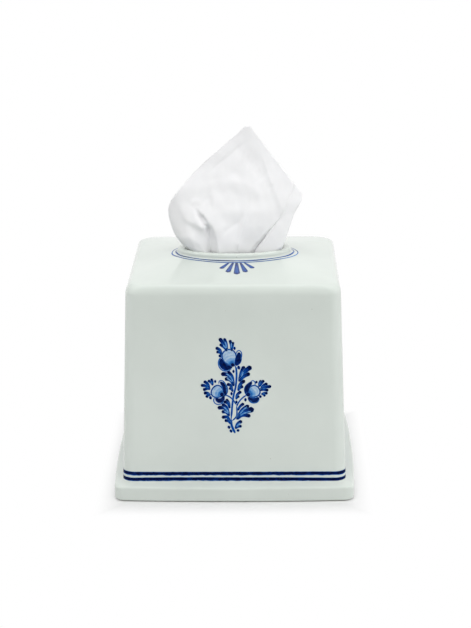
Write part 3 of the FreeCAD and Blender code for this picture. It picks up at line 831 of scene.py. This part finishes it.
# %% Folds: each line is drawn upward, with its height, and its reach to the left and to the right
FRONT_FOLDS = [(outline(line), height, left, right) for line, height, left, right in (
    (((-9.4, 138.0), (-9.8, 146.4), (-10.8, 153.0), (-12.1, 157.5), (-13.7, 161.1), (-16.3, 164.1)),
     2.4, 1.3, 8.0),
    (((-15.0, 136.0), (-15.2, 148.0), (-15.4, 154.0), (-16.6, 159.0)), -3.0, 1.8, 2.6),
    (((-16.9, 160.6), (-19.4, 163.6), (-22.0, 167.2), (-25.2, 172.8)), -1.8, 0.8, 3.0),
    (((-18.2, 160.2), (-20.8, 163.4), (-23.4, 167.0), (-26.4, 174.0)), 1.8, 3.4, 0.9),
    (((-36.4, 176.5), (-34.6, 172.4), (-32.5, 168.4), (-30.2, 165.3), (-25.5, 163.4), (-19.5, 161.0)),
     1.5, 5.0, 1.9),
    (((-25.6, 176.6), (-23.4, 177.0), (-21.0, 175.2), (-20.6, 172.4)), 0.8, 1.2, 1.2),
    (((-20.6, 175.4), (-16.6, 178.4), (-13.0, 179.4)), -1.3, 4.0, 4.0),
    (((13.7, 184.2), (5.7, 188.3), (-8.0, 189.1), (-18.0, 185.4), (-21.4, 179.4)), 0.5, 4.0, 2.4),
    (((-12.0, 198.0), (-0.4, 207.4), (12.3, 217.2)), -0.5, 1.0, 3.0),
    (((29.7, 173.7), (21.7, 194.0), (16.0, 211.8)), 0.6, 1.4, 5.0),
    (((3.0, 150.0), (7.5, 166.0), (12.5, 178.0)), 0.9, 2.0, 6.0),
    (((-6.0, 158.0), (2.0, 163.5), (9.0, 171.0)), -0.7, 2.0, 3.0),
    (((-34.0, 152.0), (-28.4, 154.6), (-22.0, 150.0)), 0.9, 3.0, 4.0),
)]
BACK_FOLDS = [(outline(line), height, left, right) for line, height, left, right in (
    (((-9.0, 138.0), (-6.0, 158.0), (-12.0, 178.0)), -4.5, 3.0, 8.0),
    (((8.0, 138.0), (4.0, 160.0), (6.0, 186.0)), -3.0, 5.0, 2.6),
    (((-24.0, 146.0), (-27.0, 164.0), (-22.0, 184.0)), -2.5, 2.4, 5.0),
)]
EMBOSSED = [(Vector(spot), Vector(spot) + Vector((1.7, 2.2))) for spot in (
    (4.5, 203.5), (7.3, 201.6), (9.4, 198.4), (12.6, 196.2), (14.4, 193.2), (17.6, 190.8), (20.4, 187.6),
    (22.8, 184.6), (25.4, 181.0))]
FOLD_CRISPNESS = 1.4


def fold_share(here, line, left, right, fading=0.0):
    """1 on a fold's line, dying away on its left and right, and over the last share of its length."""
    nearest, side, passed = 1e9, 0, 0
    for index, (start, end) in enumerate(zip(line, line[1:])):
        run = end - start
        share = min(1, max(0, (here - start).dot(run) / run.length_squared))
        gap = here - start - run * share
        if gap.length_squared < nearest:
            nearest, side, passed = gap.length_squared, run.cross(gap), (index + share) / (len(line) - 1)
    reach = left if side > 0 else right
    fade = eased(1 - passed, 0, fading) if fading else 1
    return fade * math.exp(-(math.sqrt(nearest) / reach) ** FOLD_CRISPNESS)


print(len(FRONT_FOLDS), "front folds,", len(BACK_FOLDS), "back folds,", len(EMBOSSED), "embossed marks")

# %% The gathers in the slit, and the room in the collar
PLEATS, PLEAT_DEPTH, GATHER_DEPTH = 22, 0.2, 0.71
SLIT_RADIUS, SLIT_BACK = 55.0, 44.0
GATHERED_TO, LOOSE_FROM = 127, 146.5
LIP_LEVEL, BORE_GAP, LIP_SPREAD = 143.2, 2.0, 2.2
FRONT_PHASE, BACK_PHASE = 0.0, 4.0


def gathered(across, share, up, phase):
    """A layer's depth where it is gathered to pass the slit in the film."""
    slit = math.sqrt(SLIT_RADIUS ** 2 - across ** 2) - SLIT_BACK
    pleat = math.sin(2 * math.pi * (share * PLEATS + 1.1 * noise.noise((share * 6, up / 26, phase))))
    depth = PLEAT_DEPTH + 0.06 * noise.noise((share * 9, up / 20, phase + 3))
    return slit * (GATHER_DEPTH + depth * pleat)


def looseness(up):
    """0 where the sheet is gathered in the slit, 1 from just over the collar's lip."""
    return eased(up, GATHERED_TO, LOOSE_FROM)


def collar_room(across, up):
    """How far out a layer may stand: the collar's bore, and past its lip as much as the layer likes."""
    bore = BORE_HALF[1] * math.sqrt(max(0.0, 1 - (across / BORE_HALF[0]) ** 2))
    return bore - BORE_GAP + LIP_SPREAD * max(0, up - LIP_LEVEL)


print("the sheet is loose from", LOOSE_FROM, "mm up")

# %% Bulge, wrinkles and the turn of the left fold, with bulges at heights from the corner down
def bulge(*pairs):
    return [Vector(pair) for pair in pairs]


FRONT_BULGE = bulge((0.4, 226), (1.2, 212), (2.6, 200), (5.0, 190), (7.6, 180), (10.0, 170), (11.6, 160),
                    (12.6, 151), (13.2, 143), (9.0, 130), (9.0, 60))
FLATTENS_FROM, FLATTENS_AT = 168, 186
FOLD_TURN, FOLD_POWER = 0.2, 0.75
BROAD_WRINKLES, FINE_WRINKLES = 0.9, 0.32


def wrinkles(across, up):
    broad = noise.noise((across / 13, up / 13, 2.0))
    fine = noise.noise((across / 5, up / 6, 7.0))
    return BROAD_WRINKLES * broad + FINE_WRINKLES * fine


def rounding(share, turn):
    """0 on the left fold, and 1 from a share of the width on."""
    return math.sin(math.pi / 2 * min(1, max(0, share) / turn)) ** FOLD_POWER


def flat_part(up):
    """How far out the left fold lies: it leaves the middle as the sheet flattens upward."""
    return across_at(FRONT_BULGE, up) * eased(up, FLATTENS_FROM, FLATTENS_AT)


print("the sheet bulges by", round(across_at(FRONT_BULGE, 170), 1), "mm at 170 mm up")

# %% How far the front layer stands out
TURN_WIDENS = 0.06
CORNER_TOP, SMOOTH_CORNER = 226, 14
FADING, FADES_ABOVE = 0.45, 165
EMBOSS_DEPTH, EMBOSS_REACH = 0.3, 0.8
ROLL_DROP, ROLL_POWER = 0.75, 1.2


def front_depth(across, up, share):
    """How far out the front layer stands, with its folds, its wrinkles and the roll of its free edge."""
    here = Vector((across, up))
    depth = across_at(FRONT_BULGE, up) * (1 - 0.12 * eased(share, 0.55, 1))
    for line, height, left, right in FRONT_FOLDS:
        depth += height * fold_share(here, line, left, right, FADING if line[-1].y > FADES_ABOVE else 0)
    for mark in EMBOSSED:
        depth -= EMBOSS_DEPTH * fold_share(here, mark, EMBOSS_REACH, EMBOSS_REACH)
    depth += wrinkles(across, up) * eased(CORNER_TOP - up, 0, SMOOTH_CORNER)
    turn = FOLD_TURN + TURN_WIDENS * eased(up, 150, 166)
    depth = flat_part(up) + rounding(share, turn) * (depth - flat_part(up))
    roll, end = across_at(ROLL_EDGE, up), across_at(FREE_EDGE, up)
    if across > roll:
        depth -= ROLL_DROP * (end - roll) * ((min(across, end) - roll) / (end - roll)) ** ROLL_POWER
    return min(depth, collar_room(across, up))


def front_place(across, up, share):
    loose = looseness(up)
    depth = front_depth(across, up, share) * loose if loose else 0
    if loose < 1:
        depth += gathered(across, share, up, FRONT_PHASE) * (1 - loose)
    return Vector((across, -loose - depth, up))


print("front layer at 170 mm up:", round(front_depth(0, 170, 0.5), 1), "mm out")

# %% How far the back layer stands out, and its flap past the free edge
BACK_BULGE = bulge((0.4, 226), (1.0, 212), (2.0, 200), (3.4, 190), (5.6, 178), (7.4, 165), (8.4, 152),
                   (8.0, 143), (8.0, 60))
FLAP_BULGE = bulge((4.4, 190), (6.0, 180), (7.8, 170), (9.5, 160), (10.8, 150), (11.6, 143), (9.0, 130),
                   (9.0, 60))
BACK_CLOSES_FROM, BACK_CLOSES_AT, BACK_SHIFT = 14, 1, 40
FLAP_LAP, FLAP_WRINKLES = 0.7, 0.4
OVERHANG, OVERHANG_REACH = 1.6, 4
TURN_START, LAP_START, TURN_END = 1.4, 1.2, 0.2
LAYERS_MEET_FROM, LAYERS_MEET_AT, LAYER_GAP = 158, 204, 0.8


def back_depth(across, up, free):
    """How far back the back layer stands on its own."""
    depth = across_at(BACK_BULGE, up) * (1 - eased(across, free - BACK_CLOSES_FROM, free - BACK_CLOSES_AT))
    for line, height, left, right in BACK_FOLDS:
        depth -= height * fold_share(Vector((across, up)), line, left, right)
    return depth + wrinkles(across + BACK_SHIFT, up)


def flap_depth(across, up, free, right):
    """How far out the flap stands: over the front layer's edge, and less towards the right."""
    depth = max(front_depth(free, up, 1) + FLAP_LAP, across_at(FLAP_BULGE, up))
    depth += FLAP_WRINKLES * wrinkles(across, up) - (across - free) / max(1, right - free)
    return min(depth, collar_room(across, up))


def overhang(across, free, right):
    """How far the flap reaches back over the free edge."""
    lap = OVERHANG * eased(across, free - LAP_START, free - TURN_END)
    return lap * (1 - eased(across, free, free + OVERHANG_REACH)) * min(1, (right - free) / OVERHANG_REACH)


def back_place(across, up, share):
    loose = looseness(up)
    left, free, right = (across_at(drawn, up) for drawn in (LEFT_FOLD, FREE_EDGE, RIGHT_EDGE))
    turned = eased(across, free - TURN_START, free - TURN_END)
    depth = lap = 0
    if loose:
        own = back_depth(across, up, free)
        own -= (own + flap_depth(across, up, free, right)) * turned
        round_fold = rounding(share, FOLD_TURN)
        own = own * round_fold - flat_part(up) * (1 - round_fold)
        beside = LAYER_GAP * round_fold - front_depth(across, up, (across - left) / (free - left))
        depth += (own + (beside - own) * eased(up, LAYERS_MEET_FROM, LAYERS_MEET_AT)) * loose
        lap = overhang(across, free, right) * loose
    if loose < 1:
        behind = gathered(across, share, up, BACK_PHASE)
        depth += (behind - (behind + gathered(across, 1, up, FRONT_PHASE)) * turned) * (1 - loose)
    return Vector((across - lap, depth - loose, up))


print("back layer at 170 mm up:", round(back_place(0, 170, 0.5).y, 1), "mm back")

# %% Lay the standing sheet row by row
LAYER_STEPS = 130
STANDING_THICKNESS = 0.2
TAIL_BOTTOM, TISSUE_TOP = (corner.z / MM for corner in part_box("popup_tissue"))
TAIL_TOP, COLLAR_FOOT, TIP_GAP = 124, 138, 0.4


def spaced(low, high, steps):
    return [low + (high - low) * step / steps for step in range(steps)]


heights = spaced(TAIL_BOTTOM, TAIL_TOP, 10) + spaced(TAIL_TOP, COLLAR_FOOT, 7)
heights += spaced(COLLAR_FOOT, TISSUE_TOP - TIP_GAP, 70) + [TISSUE_TOP - TIP_GAP]
sheet_bm = bmesh.new()
row = None
for up in heights:
    left, right, free = (across_at(drawn, up) for drawn in (LEFT_FOLD, RIGHT_EDGE, FREE_EDGE))
    places = []
    for step in range(LAYER_STEPS):
        share = step / LAYER_STEPS
        places.append(front_place(free + (left - free) * share, up, 1 - share))
    for step in range(LAYER_STEPS + 1):
        share = step / LAYER_STEPS
        places.append(back_place(left + (right - left) * share, up, share))
    row = add_row(sheet_bm, row, places)
bmesh.ops.recalc_face_normals(sheet_bm, faces=sheet_bm.faces)
bmesh.ops.solidify(sheet_bm, geom=sheet_bm.faces, thickness=STANDING_THICKNESS)
standing = finished(
    "standing_sheet_of_tissue", sheet_bm, (tissue_paper,), "standing_sheet", "tissue_paper", "popup_tissue")

# %% [markdown]
# ## The next sheet
# Pop-up sheets are interfolded, so pulling one brings the next with it, gathered tightly between its layers.
# A zigzag row of narrow pleats, extruded upward, holds most of a whole sheet in the space of a finger.

# %% Narrow pleats of the next sheet
NEXT_PLEATS, NEXT_ROWS, NEXT_THICKNESS = 43, 14, 0.1
NEXT_WIDTH_SHARE, NEXT_DEPTH_SHARE, NEXT_DEPTH_VARIES = 0.94, 0.86, 0.12
NEXT_SWAY, NEXT_RAGGED = 0.5, 1.6
next_low, next_high = (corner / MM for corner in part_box("next_tissue"))
next_bm = bmesh.new()
row = None
for step in range(NEXT_ROWS + 1):
    share = step / NEXT_ROWS
    places = []
    for crease in range(2 * NEXT_PLEATS + 1):
        along = crease / NEXT_PLEATS - 1
        lens = math.sqrt(1 - 0.7 * along * along)
        varied = NEXT_DEPTH_VARIES * noise.noise((crease * 0.7, share * 2.5, 1.0))
        reach = lens * (NEXT_DEPTH_SHARE + varied) * next_high.y
        sway = NEXT_SWAY * noise.noise((along * 5, share * 3, 9.0))
        top = next_high.z - NEXT_RAGGED * share * (1 + noise.noise((crease * 0.4, 0, 5.0)))
        across = along * NEXT_WIDTH_SHARE * next_high.x + sway
        up = next_low.z + (top - next_low.z) * share
        places.append(Vector((across, reach if crease % 2 else -reach, up)))
    row = add_row(next_bm, row, places)
bmesh.ops.recalc_face_normals(next_bm, faces=next_bm.faces)
bmesh.ops.solidify(next_bm, geom=next_bm.faces, thickness=NEXT_THICKNESS)
next_sheet = finished(
    "next_sheet_of_tissue", next_bm, (tissue_paper,), "next_sheet", "tissue_paper", "next_tissue")

# %% [markdown]
# ## The clip of sheets in the refill
# A part-used cube refill holds its last sheets as an arch. Each is folded once into a V, and each V holds the
# edge of the next, opening to the front and to the back in turn. The arch is one row of vertices, and it is
# extruded over the clip, round the fold and back underneath.

# %% One row over the clip
CLIP_FLOOR, CLIP_TOP, CLIP_HALF, CLIP_BEND = 1.5, 71.5, 53.4, 40.0
LEG_STEPS, BEND_STEPS = 5, 12


def arch(inward, along):
    """One row over the clip, from the left leg to the right leg."""
    half, bend = CLIP_HALF - inward, CLIP_BEND - inward
    crown = CLIP_TOP - CLIP_BEND
    rise = (crown - CLIP_FLOOR) / LEG_STEPS
    places = [Vector((-half, along, CLIP_FLOOR + rise * step)) for step in range(LEG_STEPS)]
    for centre, start in ((-half + bend, 180), (half - bend, 90)):
        for step in range(BEND_STEPS + 1):
            angle = math.radians(start - 90 * step / BEND_STEPS)
            places.append(Vector((centre + bend * math.cos(angle), along, crown + bend * math.sin(angle))))
    return places + [Vector((half, along, crown - rise * (step + 1))) for step in range(LEG_STEPS)]


print(len(arch(0, 0)), "vertices in a row")

# %% Arched and interfolded sheets
CLIP_SHEETS, CLIP_THICKNESS = 10, 0.15
LAYER_PITCH, LAYERS_APART, FIRST_LAYER = 0.6, 1.8, 0.2
FREE_END, CLIP_ROWS = 52.4, 12
FOLD_ROWS, FOLD_BULGE, UNEVEN = 5, 0.9, 0.08
for number in range(1, CLIP_SHEETS + 1):
    upper = 2 * (number - 1) * LAYER_PITCH + FIRST_LAYER
    facing = 1 if number % 2 else -1
    clip_bm = bmesh.new()
    row = add_row(clip_bm, None, arch(upper, -facing * FREE_END))
    for step in range(1, CLIP_ROWS + 1):
        inward = upper + UNEVEN * noise.noise((step * 0.6, number, 0))
        row = add_row(clip_bm, row, arch(inward, facing * FREE_END * (2 * step / CLIP_ROWS - 1)))
    for step in range(1, FOLD_ROWS):
        angle = math.pi * step / FOLD_ROWS
        inward = upper + LAYERS_APART / 2 * (1 - math.cos(angle))
        row = add_row(clip_bm, row, arch(inward, facing * (FREE_END + FOLD_BULGE * math.sin(angle))))
    for step in range(CLIP_ROWS + 1):
        inward = upper + LAYERS_APART + UNEVEN * noise.noise((step * 0.6, number, 3))
        row = add_row(clip_bm, row, arch(inward, facing * FREE_END * (1 - 2 * step / CLIP_ROWS)))
    bmesh.ops.recalc_face_normals(clip_bm, faces=clip_bm.faces)
    bmesh.ops.solidify(clip_bm, geom=clip_bm.faces, thickness=CLIP_THICKNESS)
    clip_sheet = finished("folded_sheet_%02d" % number, clip_bm, (tissue_paper,), "refill", "tissue_paper",
                          "clip_sheet_%02d" % number)

# %% [markdown]
# ## The refill carton and its film
# The refill is a cube of white folding boxboard, coated smooth on the outside. Its panels are flat and true
# in the CAD model, so the node stays and only gets its material. So does the clear film under the torn-out
# mouth.

# %% Coated board
PULP_SIZE, PULP_HEIGHT = 2.5 * MM, 0.2 * MM
coated_board, tree, shader = new_material("coated_folding_boxboard")
place = add_node(tree, "ShaderNodeTexCoord").outputs["Object"]
pulp = add_node(tree, "ShaderNodeTexNoise", {"Vector": place, "Scale": 1 / PULP_SIZE, "Detail": 5})
tone = add_node(tree, "ShaderNodeValToRGB", {"Fac": pulp})
paint_ramp(tone, ((0.3, "#dcdfe1"), (0.7, "#e1e4e6")))
felt = add_node(tree, "ShaderNodeBump", {"Height": pulp, "Strength": 0.12, "Distance": PULP_HEIGHT})
set_inputs(tree, shader, {"Base Color": tone, "Normal": felt, "Roughness": 0.45})

# %% Clear film
CREASE_SIZE, CREASE_HEIGHT = 12 * MM, 0.6 * MM
clear_film, tree, shader = new_material("clear_polyethylene_film")
place = add_node(tree, "ShaderNodeTexCoord").outputs["Object"]
creases = add_node(tree, "ShaderNodeTexNoise", {"Vector": place, "Scale": 1 / CREASE_SIZE, "Detail": 2})
skin = add_node(tree, "ShaderNodeBump", {"Height": creases, "Strength": 0.4, "Distance": CREASE_HEIGHT})
set_inputs(tree, shader, {
    "Base Color": linear("#eef2f4"), "Normal": skin, "Roughness": 0.08, "IOR": 1.5, "Alpha": 0.3})

# %% Give the CAD nodes their finish
for node, material in (("refill_carton", coated_board), ("slit_film", clear_film)):
    for slot in bpy.data.objects[node].material_slots:
        slot.material = material
    print(node, "wears", material.name)

# %% [markdown]
# ## Floor and light
# The picture has a white floor that runs up into a white backdrop, in soft light from all round. Close to
# the object the floor is grey: painted shade that deepens the real shadow it takes there. Farther out it is
# plain white. A weak softbox hangs overhead, and five soft fills light the sides: the fills are hidden from
# reflections, which would show them as bright panels. A gloss glaze also mirrors the darker room behind the
# camera, so reflections see a floor and a backdrop that darken towards the front, while the camera sees both
# of them white.

# %% Floor
FLOOR_REACH = 4
floor_bm = bmesh.new()
bmesh.ops.create_grid(floor_bm, x_segments=1, y_segments=1, size=FLOOR_REACH)
floor_mesh = bpy.data.meshes.new("floor")
floor_bm.to_mesh(floor_mesh)
floor_bm.free()
floor = bpy.data.objects.new("floor", floor_mesh)
bpy.context.collection.objects.link(floor)
white_floor, tree, shader = new_material("white_floor")
# This grey is painted shade: it darkens the floor round the object, on top of its real shadow.
set_inputs(tree, shader, {"Base Color": linear("#dfdfdf"), "Roughness": 0.9})
floor_mesh.materials.append(white_floor)

# %% White farther out, for rays that the eye follows
# Within SHADOW_END eye rays see the grey floor, painted shade round the foot. White takes over by
# WHITE_START, and sooner at the sides, where painted white covers the shadow.
SHADOW_END, WHITE_START, SHADOW_SQUASH = 0.078, 0.1, 1.15
DARK_FLOOR, LIGHT_FLOOR = -0.6, -0.3


def eye_rays(tree):
    """The kinds of ray, and 1 for those the eye follows: straight, mirrored or through glass."""
    rays = add_node(tree, "ShaderNodeLightPath").outputs
    mirrored, through = rays["Is Glossy Ray"], rays["Is Transmission Ray"]
    shiny = add_node(tree, "ShaderNodeMath", {0: mirrored, 1: through}, operation="MAXIMUM")
    return rays, add_node(tree, "ShaderNodeMath", {0: rays["Is Camera Ray"], 1: shiny}, operation="MAXIMUM")


place = add_node(tree, "ShaderNodeTexCoord").outputs["Object"]
parts = add_node(tree, "ShaderNodeSeparateXYZ", {"Vector": place}).outputs
across = add_node(tree, "ShaderNodeMath", {0: parts["X"]}, operation="ABSOLUTE")
squashed = add_node(tree, "ShaderNodeMath", {0: across, 1: SHADOW_SQUASH}, operation="MULTIPLY")
forward = add_node(tree, "ShaderNodeMath", {0: parts["Y"]}, operation="ABSOLUTE")
distance = add_node(tree, "ShaderNodeMath", {0: squashed, 1: forward}, operation="MAXIMUM")
far = add_node(tree, "ShaderNodeMapRange", {
    "Value": distance, "From Min": SHADOW_END, "From Max": WHITE_START}, interpolation_type="SMOOTHSTEP")
rays, seen = eye_rays(tree)
white = add_node(tree, "ShaderNodeMath", {0: far, 1: seen}, operation="MULTIPLY")
table_front = add_node(tree, "ShaderNodeMapRange", {
    "Value": parts["Y"], "From Min": DARK_FLOOR, "From Max": LIGHT_FLOOR})
strength = add_node(tree, "ShaderNodeMapRange", {
    "Value": rays["Is Glossy Ray"], "To Min": 1, "To Max": table_front})
glow = add_node(tree, "ShaderNodeEmission", {"Color": (1, 1, 1, 1), "Strength": strength})
surface = add_node(tree, "ShaderNodeMixShader", {0: white, 1: shader, 2: glow})
set_inputs(tree, tree.nodes["Material Output"], {"Surface": surface})
print("white from", WHITE_START, "m out")

# %% World
DARK_ROOM, LIGHT_ROOM, ROOM_LEVEL, SKY_LEVEL = -0.45, 0.0, 0.1, 0.45
world = bpy.data.worlds.new("white_studio")
bpy.context.scene.world = world
world.use_nodes = True
tree = world.node_tree
rays, seen = eye_rays(tree)
direction = add_node(tree, "ShaderNodeTexCoord").outputs["Generated"]
heading = add_node(tree, "ShaderNodeSeparateXYZ", {"Vector": direction}).outputs["Y"]
backdrop = add_node(tree, "ShaderNodeMapRange", {
    "Value": heading, "From Min": DARK_ROOM, "From Max": LIGHT_ROOM, "To Min": ROOM_LEVEL, "To Max": 1})
shown = add_node(tree, "ShaderNodeMapRange", {
    "Value": rays["Is Camera Ray"], "To Min": backdrop, "To Max": 1})
level = add_node(tree, "ShaderNodeMapRange", {"Value": seen, "To Min": SKY_LEVEL, "To Max": shown})
set_inputs(tree, tree.nodes["Background"], {"Color": (1, 1, 1, 1), "Strength": level})
print("world", world.name)

# %% Lamps: name, place, width, height and power
FILL_AIM = (0, 0, 0.1)
FILLS = (
    ("front fill", (0, -0.9, 1.25), 1.2, 0.6, 5.4),
    ("upper fill", (0, -0.6, 1.4), 1.2, 0.6, 4.2),
    ("left fill", (-1.0, -0.3, 1.1), 0.8, 0.8, 3.5),
    ("right fill", (1.0, -0.3, 0.55), 0.8, 0.8, 4.3),
    ("back fill", (0, 1.2, 0.9), 1.2, 0.8, 4.5),
)


def softbox(name, place, aim, width, height, power):
    lamp = bpy.data.lights.new(name, "AREA")
    lamp.shape = "RECTANGLE"
    lamp.size, lamp.size_y, lamp.energy = width, height, power
    lamp_object = bpy.data.objects.new(name, lamp)
    lamp_object.location = place
    lamp_object.rotation_euler = (Vector(aim) - Vector(place)).to_track_quat("-Z", "Y").to_euler()
    bpy.context.collection.objects.link(lamp_object)
    return lamp_object


softbox("overhead", (0, 0.15, 1.4), (0, 0.15, 0), 1.6, 1.45, 3.0)
for name, place, width, height, power in FILLS:
    softbox(name, place, FILL_AIM, width, height, power).visible_glossy = False
bpy.context.scene.view_settings.view_transform = "Standard"
print(1 + len(FILLS), "lamps")
